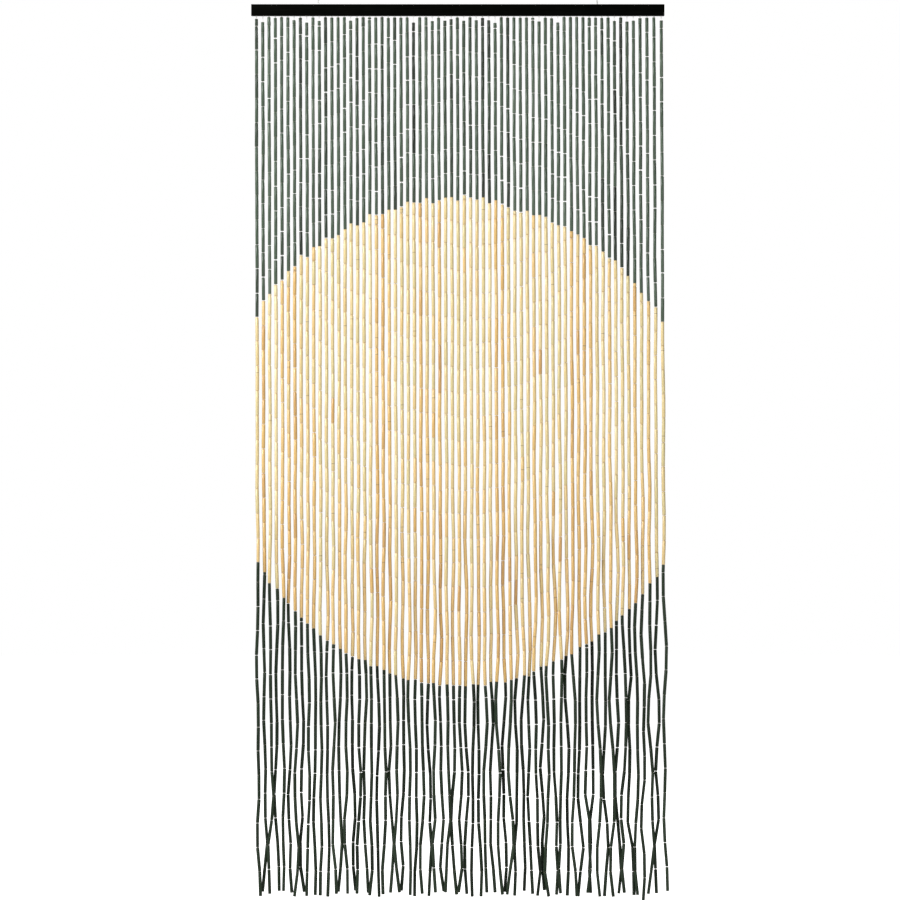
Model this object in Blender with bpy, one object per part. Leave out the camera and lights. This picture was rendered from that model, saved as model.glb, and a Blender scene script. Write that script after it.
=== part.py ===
"""Bead curtain with rail: bamboo bead strands hanging from a painted batten.

Metres, +Z up, X along the rail. The origin is the middle of the rail's top face, and the front faces -Y.
A depth is measured down from the rail's top face.
"""

import math
import random
from collections import namedtuple

import bmesh
import bpy
from mathutils import Vector

# Rail
RAIL_LENGTH = 0.900
RAIL_DEPTH = 0.015
RAIL_HEIGHT = 0.025
RAIL_EDGE_BEVEL = 0.0006

# Strip that the strands are rooted in, which takes up the lowest part of the rail's height
STRIP_THICKNESS = 0.002
STRIP_DEPTH = 0.008
STRIP_LENGTH = 0.894
ROOT_INSET = 0.0028
CLEARANCE = 0.0003

# Screw eyes on the rail's top
EYE_OFFSET = 0.3035
EYE_WIRE_RADIUS = 0.0015
EYE_RING_RADIUS = 0.0065
EYE_SHANK_HEIGHT = 0.0035
EYE_ELBOW_HEIGHT = 0.0019
EYE_RING_START = math.radians(20)
EYE_RING_END = math.radians(332)
EYE_RING_POINTS = 19

# Strands
STRAND_COUNT = 65
STRAND_PITCH = 0.01368
PITCH_SPREAD = 0.000045
FIELD_SHIFT = -0.0010
FIELD_LEAN = 0.0036
WIDE_FROM = 59
WIDE_REACH = 0.0064
BEAD_DIAMETER = 0.0068
BEAD_PITCH = 0.0532
WIRE_THICKNESS = 0.0012
FIRST_BEAD_DEPTH = 0.0295
STRAND_END_DEPTH = 1.9375
END_JITTER = 0.0078
LONG_STRAND = 61
LONG_STRAND_EXTRA = 0.0125

# Wander of the strands, which hang straight above and loosely below
SEED = 41
WANDER_LENGTHS = (0.50, 0.32, 0.21)
DEPTH_WANDER = 0.05
LAYER_OFFSET = 0.0042
LAYER_START = 0.85
LAYER_FULL = 1.30
CALM_LAST = 26
WILD_FIRST = 50
CALM_SHARE = 0.82
WILD_SHARE = 1.20
STRAIGHT_RINGS = (0.42, 0.80, 1.06, 1.24)
JOINTED_BEADS = 10

Swing = namedtuple("Swing", "depth reach")
SWINGS = (
    Swing(0.03, 0.0000),
    Swing(0.30, 0.0007),
    Swing(0.95, 0.0011),
    Swing(1.30, 0.0031),
    Swing(1.60, 0.0053),
    Swing(1.80, 0.0078),
    Swing(1.94, 0.0066),
)

# Neighbouring strands that swing together, from the first to the last, most closely at a depth:
# their spacing there, and the length over which they come together and part
Meeting = namedtuple("Meeting", "first last depth spacing length")
MEETINGS = (
    Meeting(2, 3, 1.728, 0.001, 0.060),
    Meeting(1, 2, 1.840, 0.001, 0.045),
    Meeting(0, 1, 1.935, 0.004, 0.050),
    Meeting(6, 7, 1.850, 0.001, 0.055),
    Meeting(5, 6, 1.945, 0.005, 0.035),
    Meeting(7, 8, 1.945, 0.004, 0.045),
    Meeting(12, 13, 1.940, 0.004, 0.070),
    Meeting(15, 16, 1.940, 0.003, 0.055),
    Meeting(16, 17, 1.682, 0.006, 0.050),
    Meeting(17, 18, 1.945, 0.003, 0.060),
    Meeting(20, 21, 1.676, 0.006, 0.055),
    Meeting(21, 22, 1.826, 0.001, 0.060),
    Meeting(22, 23, 1.925, 0.003, 0.035),
    Meeting(27, 28, 1.842, 0.001, 0.050),
    Meeting(29, 30, 1.940, 0.003, 0.040),
    Meeting(30, 31, 1.774, 0.001, 0.060),
    Meeting(31, 32, 1.945, 0.003, 0.035),
    Meeting(32, 33, 1.860, 0.004, 0.045),
    Meeting(38, 40, 1.935, 0.005, 0.050),
    Meeting(40, 41, 1.824, 0.001, 0.050),
    Meeting(44, 46, 1.875, 0.004, 0.045),
    Meeting(45, 46, 1.757, 0.005, 0.050),
    Meeting(47, 48, 1.883, 0.002, 0.050),
    Meeting(50, 51, 1.935, 0.003, 0.060),
    Meeting(52, 53, 1.789, 0.001, 0.055),
    Meeting(56, 57, 1.700, 0.002, 0.085),
    Meeting(57, 58, 1.883, 0.001, 0.045),
    Meeting(58, 59, 1.542, 0.002, 0.045),
    Meeting(59, 60, 1.865, 0.002, 0.050),
    Meeting(62, 63, 1.833, 0.001, 0.050),
)

COLLECTION_NAME = "bead_curtain_with_rail"


def clear_scene():
    for item in list(bpy.data.objects):
        bpy.data.objects.remove(item, do_unlink=True)


def make_material(name, colour, roughness, metallic=0.0):
    material = bpy.data.materials.new(name)
    material.use_nodes = True
    shader = material.node_tree.nodes["Principled BSDF"]
    shader.inputs["Base Color"].default_value = (*colour, 1.0)
    shader.inputs["Roughness"].default_value = roughness
    shader.inputs["Metallic"].default_value = metallic
    return material


def add_object(name, mesh, material, collection):
    item = bpy.data.objects.new(name, mesh)
    collection.objects.link(item)
    mesh.materials.clear()
    mesh.materials.append(material)
    return item


def between(value, low, high):
    """How far value has come from low to high, eased at both ends."""
    share = min(1.0, max(0.0, (value - low) / (high - low)))
    return share * share * (3.0 - 2.0 * share)


def swing_reach(strand, depth):
    """How far a strand may wander at a depth: the ones on the left hang calmer."""
    calm = CALM_SHARE + (WILD_SHARE - CALM_SHARE) * between(strand, CALM_LAST, WILD_FIRST)
    for above, below in zip(SWINGS, SWINGS[1:]):
        if depth <= below.depth:
            share = max(0.0, (depth - above.depth) / (below.depth - above.depth))
            return calm * (above.reach + share * (below.reach - above.reach))
    return calm * SWINGS[-1].reach


def even_x(strand, depth):
    """Where a strand would hang at a depth if all were spaced evenly: the field leans and spreads a little."""
    middle = FIELD_SHIFT + FIELD_LEAN * depth
    return middle + (strand - (STRAND_COUNT - 1) / 2) * (STRAND_PITCH + PITCH_SPREAD * depth)


def rest_x(strand, depth):
    """Where a strand hangs at a depth, but for its wander: the last few on the right stand wider apart."""
    outward = max(0.0, (strand - WIDE_FROM) / (STRAND_COUNT - 1 - WIDE_FROM))
    return even_x(strand, depth) + WIDE_REACH * outward ** 2


def end_depth(strand):
    jitter = random.Random(f"{SEED} end {strand}").uniform(-END_JITTER, END_JITTER)
    extra = LONG_STRAND_EXTRA if strand == LONG_STRAND else 0.0
    return STRAND_END_DEPTH + jitter + extra


def wander(strand, depth, direction):
    """A smooth seeded wander from -1 to 1."""
    source = random.Random(f"{SEED} {direction} {strand}")
    total = 0.0
    weights = 0.0
    for length in WANDER_LENGTHS:
        wave = length * source.uniform(0.85, 1.2)
        weight = source.uniform(0.35, 1.0)
        turn = source.uniform(0.0, 2.0 * math.pi)
        total += weight * math.sin(2.0 * math.pi * depth / wave + turn)
        weights += weight
    return total / weights


def strand_point(strand, depth):
    """Where a strand's middle runs at a depth."""
    layer = -1.0 if strand % 2 == 0 else 1.0
    reach = swing_reach(strand, depth)
    y = layer * LAYER_OFFSET * between(depth, LAYER_START, LAYER_FULL)
    y += DEPTH_WANDER * reach * wander(strand, depth, "depth")
    pull = 0.0
    pulled = 0.0
    for meeting in MEETINGS:
        if meeting.first <= strand <= meeting.last:
            share = math.exp(-((depth - meeting.depth) / meeting.length) ** 2)
            middle = (meeting.first + meeting.last) / 2
            target = rest_x(middle, depth) + (strand - middle) * meeting.spacing
            pull += share
            pulled += share * (target - rest_x(strand, depth))
    pulled /= max(1.0, pull)
    free = 1.0 - min(1.0, pull)
    x = rest_x(strand, depth) + pulled + free * reach * wander(strand, depth, "side")
    return Vector((x, y, -depth))


def make_rail(material, collection):
    mesh = bpy.data.meshes.new("rail")
    bm = bmesh.new()
    bmesh.ops.create_cube(bm, size=1.0)
    height = RAIL_HEIGHT - STRIP_THICKNESS - CLEARANCE
    bmesh.ops.scale(bm, vec=(RAIL_LENGTH, RAIL_DEPTH, height), verts=bm.verts)
    bmesh.ops.translate(bm, vec=(0.0, 0.0, -height / 2), verts=bm.verts)
    bmesh.ops.bevel(bm, geom=bm.edges[:], offset=RAIL_EDGE_BEVEL, offset_type="OFFSET",
                    segments=1, profile=0.5, affect="EDGES", material=-1)
    bm.to_mesh(mesh)
    bm.free()
    add_object("rail", mesh, material, collection)


def eye_route():
    """Up the shank, round a small elbow and on round the ring, in the plane across the rail."""
    ring_middle = EYE_SHANK_HEIGHT + EYE_RING_RADIUS
    points = [Vector((0.0, 0.0, CLEARANCE)), Vector((0.0, 0.0, EYE_ELBOW_HEIGHT))]
    for step in range(EYE_RING_POINTS):
        turn = EYE_RING_START + (EYE_RING_END - EYE_RING_START) * step / (EYE_RING_POINTS - 1)
        across = EYE_RING_RADIUS * math.sin(turn)
        up = ring_middle - EYE_RING_RADIUS * math.cos(turn)
        points.append(Vector((0.0, across, up)))
    return points


def make_eye(name, x, material, collection):
    curve = bpy.data.curves.new(name, "CURVE")
    curve.dimensions = "3D"
    curve.bevel_depth = EYE_WIRE_RADIUS
    curve.bevel_resolution = 2
    curve.use_fill_caps = True
    route = eye_route()
    spline = curve.splines.new("POLY")
    spline.points.add(len(route) - 1)
    for point, place in zip(spline.points, route):
        point.co = (*place, 1.0)
    item = add_object(name, curve, material, collection)
    item.location = (x, 0.0, 0.0)


def make_strip_mesh(bm):
    """The strip, cut into one cell for each strand."""
    bmesh.ops.create_cube(bm, size=1.0)
    bmesh.ops.scale(bm, vec=(STRIP_LENGTH, STRIP_DEPTH, STRIP_THICKNESS), verts=bm.verts)
    bmesh.ops.translate(bm, vec=(0.0, 0.0, -RAIL_HEIGHT + STRIP_THICKNESS / 2), verts=bm.verts)
    for strand in range(STRAND_COUNT - 1):
        cut = (rest_x(strand, RAIL_HEIGHT) + rest_x(strand + 1, RAIL_HEIGHT)) / 2
        everything = bm.verts[:] + bm.edges[:] + bm.faces[:]
        bmesh.ops.bisect_plane(bm, geom=everything, plane_co=(cut, 0.0, 0.0), plane_no=(1.0, 0.0, 0.0))


def place_ring(face, middle, width):
    """Sets a four-sided ring square about its middle."""
    centre = face.calc_center_median()
    for vert in face.verts:
        side_x = math.copysign(width / 2, vert.co.x - centre.x)
        side_y = math.copysign(width / 2, vert.co.y - centre.y)
        vert.co = middle + Vector((side_x, side_y, 0.0))


def ring_depths(strand):
    """Where a strand's rings lie: a few where it hangs straight, then one at each bead joint."""
    end = end_depth(strand)
    joints = [end - BEAD_PITCH * step for step in range(JOINTED_BEADS, -1, -1)]
    return [FIRST_BEAD_DEPTH, *STRAIGHT_RINGS, *joints]


def make_strands(material, collection):
    """Wires rooted in the strip, each of them widening into a strand of beads."""
    mesh = bpy.data.meshes.new("bead_strands")
    bm = bmesh.new()
    make_strip_mesh(bm)
    label = bm.faces.layers.int.new("strand")
    cells = [face for face in bm.faces if face.normal.z < -0.5]
    cells.sort(key=lambda face: face.calc_center_median().x)
    for strand, face in enumerate(cells):
        face[label] = strand
    bmesh.ops.inset_individual(bm, faces=cells, thickness=ROOT_INSET)
    for face in cells:
        place_ring(face, strand_point(face[label], RAIL_HEIGHT), WIRE_THICKNESS)
    tips = bmesh.ops.extrude_discrete_faces(bm, faces=cells)["faces"]
    for face in tips:
        place_ring(face, strand_point(face[label], FIRST_BEAD_DEPTH - CLEARANCE), WIRE_THICKNESS)
    depths = [ring_depths(strand) for strand in range(STRAND_COUNT)]
    for ring in range(len(depths[0])):
        tips = bmesh.ops.extrude_discrete_faces(bm, faces=tips)["faces"]
        for face in tips:
            middle = strand_point(face[label], depths[face[label]][ring])
            place_ring(face, middle, BEAD_DIAMETER)
    bm.to_mesh(mesh)
    bm.free()
    add_object("bead_strands", mesh, material, collection)


def main():
    clear_scene()
    collection = bpy.data.collections.new(COLLECTION_NAME)
    bpy.context.scene.collection.children.link(collection)
    paint = make_material("black_paint", (0.006, 0.006, 0.005), 0.45)
    steel = make_material("wire_steel", (0.55, 0.55, 0.54), 0.35, 1.0)
    bamboo = make_material("dark_bamboo", (0.022, 0.027, 0.023), 0.40)
    make_rail(paint, collection)
    make_eye("screw_eye_left", -EYE_OFFSET, steel, collection)
    make_eye("screw_eye_right", EYE_OFFSET, steel, collection)
    make_strands(bamboo, collection)


main()
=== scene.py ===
"""The looks of a bead curtain with rail: bamboo tube beads on linked wires, under a painted batten.

Metres, +Z up, X along the rail. The origin is the middle of the rail's top face, and the front faces -Y.
The depth of a strand or of the disc is measured down from the rail's top face.
"""

import math
import random
from collections import namedtuple

import bmesh
import bpy
import numpy as np
from mathutils import Matrix, Vector


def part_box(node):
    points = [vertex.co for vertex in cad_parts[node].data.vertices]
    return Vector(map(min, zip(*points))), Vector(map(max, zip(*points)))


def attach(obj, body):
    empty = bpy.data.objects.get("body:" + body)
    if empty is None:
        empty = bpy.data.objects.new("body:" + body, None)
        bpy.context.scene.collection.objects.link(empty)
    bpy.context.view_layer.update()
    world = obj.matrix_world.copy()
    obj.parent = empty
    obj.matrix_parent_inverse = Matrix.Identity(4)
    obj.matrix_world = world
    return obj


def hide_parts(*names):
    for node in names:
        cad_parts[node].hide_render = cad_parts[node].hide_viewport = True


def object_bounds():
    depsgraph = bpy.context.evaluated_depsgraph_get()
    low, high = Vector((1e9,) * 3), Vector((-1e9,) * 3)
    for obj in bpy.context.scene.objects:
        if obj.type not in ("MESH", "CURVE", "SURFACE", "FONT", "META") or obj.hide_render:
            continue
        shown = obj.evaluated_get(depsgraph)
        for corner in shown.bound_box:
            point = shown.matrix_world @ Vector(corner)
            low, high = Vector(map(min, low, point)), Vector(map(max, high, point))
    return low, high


bl_info = {
    "name": "Bead Curtain",
    "version": (1, 0, 0),
    "blender": (4, 5, 0),
    "location": "View3D > Sidebar > Bead Curtain",
    "description": "Builds a bamboo bead curtain on its batten rail",
    "category": "Add Mesh",
}

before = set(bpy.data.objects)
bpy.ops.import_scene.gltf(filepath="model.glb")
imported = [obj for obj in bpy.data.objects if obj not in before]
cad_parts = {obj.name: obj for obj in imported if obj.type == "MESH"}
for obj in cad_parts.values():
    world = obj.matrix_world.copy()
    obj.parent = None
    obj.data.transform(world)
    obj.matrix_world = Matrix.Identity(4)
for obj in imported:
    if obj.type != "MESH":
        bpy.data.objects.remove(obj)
CAD_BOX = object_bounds()
BODY = "root"

# Strands, as the solids have them
STRAND_COUNT = 65
STRAND_PITCH = 0.01368
PITCH_SPREAD = 0.000045
FIELD_SHIFT = -0.0010
FIELD_LEAN = 0.0036
WIDE_FROM = 59
WIDE_REACH = 0.0064
BEAD_PITCH = 0.0532
FIRST_BEAD_DEPTH = 0.0295
STRAND_END_DEPTH = 1.9375
END_JITTER = 0.0078
LONG_STRAND = 61
LONG_STRAND_EXTRA = 0.0125

# Wander of the strands, as the solids have it
SEED = 41
WANDER_LENGTHS = (0.50, 0.32, 0.21)
DEPTH_WANDER = 0.05
LAYER_OFFSET = 0.0042
LAYER_START = 0.85
LAYER_FULL = 1.30
CALM_LAST = 26
WILD_FIRST = 50
CALM_SHARE = 0.82
WILD_SHARE = 1.20

WAVE_STRETCH = (0.85, 1.2)
WAVE_WEIGHT = (0.35, 1.0)

Swing = namedtuple("Swing", "depth reach")
SWINGS = (
    Swing(0.03, 0.0000),
    Swing(0.30, 0.0007),
    Swing(0.95, 0.0011),
    Swing(1.30, 0.0031),
    Swing(1.60, 0.0053),
    Swing(1.80, 0.0078),
    Swing(1.94, 0.0066),
)

# Neighbouring strands that swing together, from the first to the last, most closely at a depth:
# their spacing there, and the length over which they come together and part
Meeting = namedtuple("Meeting", "first last depth spacing length")
MEETINGS = (
    Meeting(2, 3, 1.728, 0.001, 0.060),
    Meeting(1, 2, 1.840, 0.001, 0.045),
    Meeting(0, 1, 1.935, 0.004, 0.050),
    Meeting(6, 7, 1.850, 0.001, 0.055),
    Meeting(5, 6, 1.945, 0.005, 0.035),
    Meeting(7, 8, 1.945, 0.004, 0.045),
    Meeting(12, 13, 1.940, 0.004, 0.070),
    Meeting(15, 16, 1.940, 0.003, 0.055),
    Meeting(16, 17, 1.682, 0.006, 0.050),
    Meeting(17, 18, 1.945, 0.003, 0.060),
    Meeting(20, 21, 1.676, 0.006, 0.055),
    Meeting(21, 22, 1.826, 0.001, 0.060),
    Meeting(22, 23, 1.925, 0.003, 0.035),
    Meeting(27, 28, 1.842, 0.001, 0.050),
    Meeting(29, 30, 1.940, 0.003, 0.040),
    Meeting(30, 31, 1.774, 0.001, 0.060),
    Meeting(31, 32, 1.945, 0.003, 0.035),
    Meeting(32, 33, 1.860, 0.004, 0.045),
    Meeting(38, 40, 1.935, 0.005, 0.050),
    Meeting(40, 41, 1.824, 0.001, 0.050),
    Meeting(44, 46, 1.875, 0.004, 0.045),
    Meeting(45, 46, 1.757, 0.005, 0.050),
    Meeting(47, 48, 1.883, 0.002, 0.050),
    Meeting(50, 51, 1.935, 0.003, 0.060),
    Meeting(52, 53, 1.789, 0.001, 0.055),
    Meeting(56, 57, 1.700, 0.002, 0.085),
    Meeting(57, 58, 1.883, 0.001, 0.045),
    Meeting(58, 59, 1.542, 0.002, 0.045),
    Meeting(59, 60, 1.865, 0.002, 0.050),
    Meeting(62, 63, 1.833, 0.001, 0.050),
)

# The disc that the natural beads make
DISC_X = 0.0026
DISC_DEPTH = 0.9507
DISC_HALF_WIDTH = 0.5145
DISC_HALF_HEIGHT = 0.5317
DISC_UPPER_SAG = 0.0058
DISC_UPPER_TILT = 0.0066
DISC_SHOULDER = 0.0026
DISC_SHOULDER_PLACE = 0.36
DISC_LOWER_LIFT = 0.0075
DISC_LOWER_SIDE_LIFT = 0.0062
DISC_FOOT_DROP = 0.0012
DISC_UPPER_JITTER = 0.0078
DISC_LOWER_JITTER = 0.0042
DISC_LIFT_SPAN = (0.2, 0.9)
DISC_SIDE_SPAN = (0.1, 0.5)

# How the runs are filled with beads, and where the first beads start
SHORTEST_BEAD = 0.0060
BEAD_LENGTH_SPREAD = 0.0014
TOP_RISE = 0.0022
LEAST_RISE_SHARE = 0.5
LOW_TOP_SHARE = 0.38
LOW_TOP_DROP = 0.0100

# Single beads: most gaps are tight and a few stand open, and the disc browns towards its foot as painted shade,
# where less light falls
GAP_LEAST = 0.3
GAP_MORE = 3.0
GAP_POWER = 3
DARK_STRAND_SHARE = 0.65
DARK_BEAD_SHARE = 0.35
DISC_STRAND_SHARE = 0.70
DISC_BEAD_SHARE = 0.30
TONE_POWER = 1.30
TONE_POWER_LOSS_TO_SHADE = 0.85
BROWN_CHANCE = 0.004
BROWN_CHANCE_GAIN_TO_SHADE = 0.050
BROWN_TONES = (0.80, 0.98)

# Shape of a bead: its sides, the eased rim, the wall round the bore and how deep the bore goes
BEAD_SIDES = 8
BEAD_RIM = 0.00035
BEAD_WALL = 0.0013
BEAD_BORE_DEPTH = 0.0035
BEAD_THICKNESS_SPREAD = 0.045
SMOOTH_ANGLE = math.radians(60)

# Wire loops between beads
LINK_RING_RADIUS = 0.00085
LINK_RING_STEPS = 8
LINK_WIRE_SIDES = 4
LINK_OFFSET = 0.00055

# Hangers under the rail: a staple, a ring on it, and a link from the ring into the first bead
HANGER_WIRE_RADIUS = 0.00042
HANGER_BEND_RADIUS = 0.0013
HANGER_LEG = 0.0030
HANGER_BEND_STEPS = 5
HANGER_WIRE_SIDES = 6
HANGER_DROP = 0.0030
TOP_RING_RADIUS = 0.00125
TOP_RING_STEPS = 10
FIRST_LINK_SUNK = 0.0012

# Rail and screw eyes, of the same size as the solids
RAIL_HEIGHT = 0.025
RAIL_EDGE = 0.0009
RAIL_EDGE_STEPS = 3
EYE_OFFSET = 0.3035
EYE_WIRE_RADIUS = 0.0015
EYE_RING_RADIUS = 0.0065
EYE_SHANK_HEIGHT = 0.0035
EYE_ELBOW_HEIGHT = 0.0019
EYE_RING_START = math.radians(20)
EYE_RING_END = math.radians(332)
EYE_RING_POINTS = 40
EYE_SUNK = 0.006
EYE_WIRE_STEPS = 4
SAME_POINT = 0.00001

# The picture: how much it takes in at the curtain, and where its middle lies
PICTURE_SPAN = 1.9611
PICTURE_MIDDLE_X = -0.0170
PICTURE_MIDDLE_Z = -0.9708
LENS = 170.0
SENSOR = 36.0
FLOOR_DROP = 0.035
FLOOR_RADIUS = 12.0
FLOOR_SIDES = 64
FLOOR_GLOW = 0.85
SURROUND_LIGHT = 0.22

# Soft lights of the stage, all pointing at the curtain's middle height
Lamp = namedtuple("Lamp", "name place width height power")
LAMPS = (
    Lamp("key_light", (-3.05, -2.35, 1.3), 1.6, 1.6, 192.0),
    Lamp("fill_light", (2.4, -3.0, -1.2), 1.6, 1.6, 30.0),
    Lamp("back_light", (1.5, 3.4, 1.2), 2.0, 2.0, 100.0),
)

# Noises, by their scale along each axis, detail and roughness
Grain = namedtuple("Grain", "scale detail roughness")
FIBRES = Grain((2400.0, 2400.0, 55.0), 3.0, 0.6)
CLOUDS = Grain((260.0, 260.0, 34.0), 2.0, 0.5)
SPECKS = Grain((900.0, 900.0, 330.0), 1.0, 0.5)
PAINTED_WOOD = Grain((14.0, 900.0, 900.0), 4.0, 0.6)
SEED_SHIFT = (0.37, 0.53, 2.9)

# Fades: a value that goes from low to high is turned into one that goes from start to end
Fade = namedtuple("Fade", "low high start end")
SPECK_FADE = Fade(0.69, 0.74, 0.0, 1.0)
RIM_FADE = Fade(0.0, 0.0016, 1.0, 0.0)
CORE_FADE = Fade(0.0021, 0.0025, 1.0, 0.0)
GROWTH_RING_FADE = Fade(0.0003, 0.0011, 1.0, 0.0)
NATURAL_STREAKS = Fade(0.30, 0.72, 0.0, 0.42)
NATURAL_PATCHES = Fade(0.50, 0.80, 0.0, 0.45)
# The natural beads' edges that turn away are mixed towards brown: painted shade
NATURAL_EDGE_SHADE = Fade(0.35, 0.95, 0.0, 0.35)
NATURAL_ROUGHNESS = Fade(0.2, 0.8, 0.36, 0.52)
DARK_STREAKS = Fade(0.45, 0.80, 0.0, 0.5)
DARK_PATCHES = Fade(0.52, 0.80, 0.0, 0.5)
DARK_RUBBING = Fade(0.45, 0.7, 0.0, 1.0)
DARK_ROUGHNESS = Fade(0.2, 0.8, 0.30, 0.46)
PAINT_GRAIN = Fade(0.35, 0.7, 0.0, 1.0)

# Growth rings: how many beads have one, how far from the bead's middle, and what picks them by the seed
GROWTH_RING_SHARE = 0.07
GROWTH_RING_REACH = 0.018
GROWTH_RING_PICKS = (17.0, 53.0)

# Mottles, by the scale of their patches and the values between which they go
Mottle = namedtuple("Mottle", "scale low high")
MOTTLE_DETAIL = 4.0
MOTTLE_SPAN = (0.3, 0.7)
PAINT_SHADE = Mottle(35.0, 0.0, 0.5)
PAINT_ROUGHNESS = Mottle(60.0, 0.48, 0.64)
WIRE_SHADE = Mottle(420.0, 0.0, 1.0)
WIRE_ROUGHNESS = Mottle(700.0, 0.30, 0.46)
FLOOR_PATCHES = Mottle(3.0, 0.0, 0.3)

# Strengths of the marks on a bead, gloss of the two stains, and bump depths with their strengths
SPECK_STRENGTH = 0.45
GROWTH_RING_STRENGTH = 0.6
# Strength of the brown rims: partly darker cut ends, partly painted shadow where the beads meet
RIM_AND_JOINT_SHADE_STRENGTH = 0.55
RUBBED_STRENGTH = 0.35
DARK_CORE_STRENGTH = 0.5
FIBRE_HEIGHT = 0.5
UPPER_GLOSS = 0.42
LOWER_GLOSS = 0.12
COAT_PER_GLOSS = 0.2
NATURAL_RELIEF = (0.00012, 0.5)
DARK_RELIEF = (0.00010, 0.5)
PAINT_RELIEF = (0.00018, 0.6)

# Places of the natural shades and of the deep, usual and faded stain in a bead's tone
NATURAL_SHADES = ((0.0, "cream"), (0.25, "straw"), (0.45, "green_straw"),
                  (0.66, "rosy_straw"), (0.86, "tan"), (1.0, "brown"))
STAIN_PLACES = (0.05, 0.40, 0.65, 0.95)

# Where a Mix node keeps its colour sockets
MIX_COLOURS_IN = (6, 7)
MIX_COLOUR_OUT = 2

BLACK = (0.0, 0.0, 0.0)
WHITE = (1.0, 1.0, 1.0)

Bead = namedtuple("Bead", "strand top bottom run tone")


def between(value, low, high):
    """How far value has come from low to high, eased at both ends."""
    share = min(1.0, max(0.0, (value - low) / (high - low)))
    return share * share * (3.0 - 2.0 * share)


def chance(*words):
    """The seeded source of chance for one thing, which a few words name."""
    return random.Random(" ".join(str(word) for word in (SEED, *words)))


def swing_reach(strand, depth):
    """How far a strand may wander at a depth: the ones on the left hang calmer."""
    calm = CALM_SHARE + (WILD_SHARE - CALM_SHARE) * between(strand, CALM_LAST, WILD_FIRST)
    for above, below in zip(SWINGS, SWINGS[1:]):
        if depth <= below.depth:
            share = max(0.0, (depth - above.depth) / (below.depth - above.depth))
            return calm * (above.reach + share * (below.reach - above.reach))
    return calm * SWINGS[-1].reach


def even_x(strand, depth):
    """Where a strand would hang if all were spaced evenly: the field leans and spreads a little."""
    middle = FIELD_SHIFT + FIELD_LEAN * depth
    return middle + (strand - (STRAND_COUNT - 1) / 2) * (STRAND_PITCH + PITCH_SPREAD * depth)


def rest_x(strand, depth):
    """Where a strand hangs at a depth, but for its wander: the last few on the right stand wider apart."""
    outward = max(0.0, (strand - WIDE_FROM) / (STRAND_COUNT - 1 - WIDE_FROM))
    return even_x(strand, depth) + WIDE_REACH * outward ** 2


def end_depth(strand):
    """Where a strand ends: by chance a little higher or lower, and one hangs longer."""
    extra = LONG_STRAND_EXTRA if strand == LONG_STRAND else 0.0
    return STRAND_END_DEPTH + chance("end", strand).uniform(-END_JITTER, END_JITTER) + extra


def wander(strand, depth, direction):
    """A smooth seeded wander from -1 to 1."""
    source = chance(direction, strand)
    total = 0.0
    weights = 0.0
    for length in WANDER_LENGTHS:
        wave = length * source.uniform(*WAVE_STRETCH)
        weight = source.uniform(*WAVE_WEIGHT)
        turn = source.uniform(0.0, math.tau)
        total += weight * math.sin(math.tau * depth / wave + turn)
        weights += weight
    return total / weights


def strand_point(strand, depth):
    """Where a strand's middle runs at a depth."""
    layer = -1.0 if strand % 2 == 0 else 1.0
    reach = swing_reach(strand, depth)
    y = layer * LAYER_OFFSET * between(depth, LAYER_START, LAYER_FULL)
    y += DEPTH_WANDER * reach * wander(strand, depth, "depth")
    pull = 0.0
    pulled = 0.0
    for meeting in MEETINGS:
        if meeting.first <= strand <= meeting.last:
            share = math.exp(-((depth - meeting.depth) / meeting.length) ** 2)
            middle = (meeting.first + meeting.last) / 2
            target = rest_x(middle, depth) + (strand - middle) * meeting.spacing
            pull += share
            pulled += share * (target - rest_x(strand, depth))
    pulled /= max(1.0, pull)
    free = 1.0 - min(1.0, pull)
    x = rest_x(strand, depth) + pulled + free * reach * wander(strand, depth, "side")
    return Vector((x, y, -depth))


def fill_run(strand, top, bottom, run):
    """Beads counted up from a run's lower end: the last is cut to fit, or left out as too short."""
    source = chance("run", run, strand)
    beads = []
    low = bottom
    while low - top > SHORTEST_BEAD:
        length = BEAD_PITCH + source.uniform(-BEAD_LENGTH_SPREAD, BEAD_LENGTH_SPREAD)
        high = max(top, low - length)
        beads.append(Bead(strand, high, low, run, source.random()))
        low = high
    return beads, low


def disc_edges(strand):
    """Depths of the disc's upper and lower edge on a strand."""
    source = chance("disc", strand)
    across = (even_x(strand, DISC_DEPTH) - DISC_X) / DISC_HALF_WIDTH
    half = DISC_HALF_HEIGHT * math.sqrt(1.0 - across * across)
    sag = DISC_UPPER_SAG + DISC_UPPER_TILT * across
    sag -= DISC_SHOULDER * math.cos(math.pi * across / DISC_SHOULDER_PLACE)
    lift = DISC_LOWER_LIFT * between(-across, *DISC_LIFT_SPAN)
    lift += DISC_LOWER_SIDE_LIFT * between(abs(across), *DISC_SIDE_SPAN) - DISC_FOOT_DROP
    upper = DISC_DEPTH - half + sag + source.uniform(-DISC_UPPER_JITTER, DISC_UPPER_JITTER)
    lower = DISC_DEPTH + half - lift + source.uniform(-DISC_LOWER_JITTER, DISC_LOWER_JITTER)
    return upper, lower


def top_depth(strand):
    """Where a strand's first bead starts: most ride up over their hanger, and some hang a little lower."""
    source = chance("top", strand)
    if source.random() < LOW_TOP_SHARE:
        return FIRST_BEAD_DEPTH + source.uniform(0.0, LOW_TOP_DROP)
    return FIRST_BEAD_DEPTH - source.uniform(LEAST_RISE_SHARE, 1.0) * TOP_RISE


def strand_beads(strand):
    """Every bead of a strand, from its lower end up."""
    upper_edge, lower_edge = disc_edges(strand)
    low_beads, joint = fill_run(strand, lower_edge, end_depth(strand), "lower")
    disc_beads, joint = fill_run(strand, upper_edge, joint, "disc")
    first_top = top_depth(strand)
    top_beads, joint = fill_run(strand, first_top, joint, "upper")
    if joint > first_top:
        top_beads[-1] = top_beads[-1]._replace(top=first_top)
    return low_beads + disc_beads + top_beads


def all_beads():
    """Every bead of the curtain, strand by strand from the left."""
    return [bead for strand in range(STRAND_COUNT) for bead in strand_beads(strand)]


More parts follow.
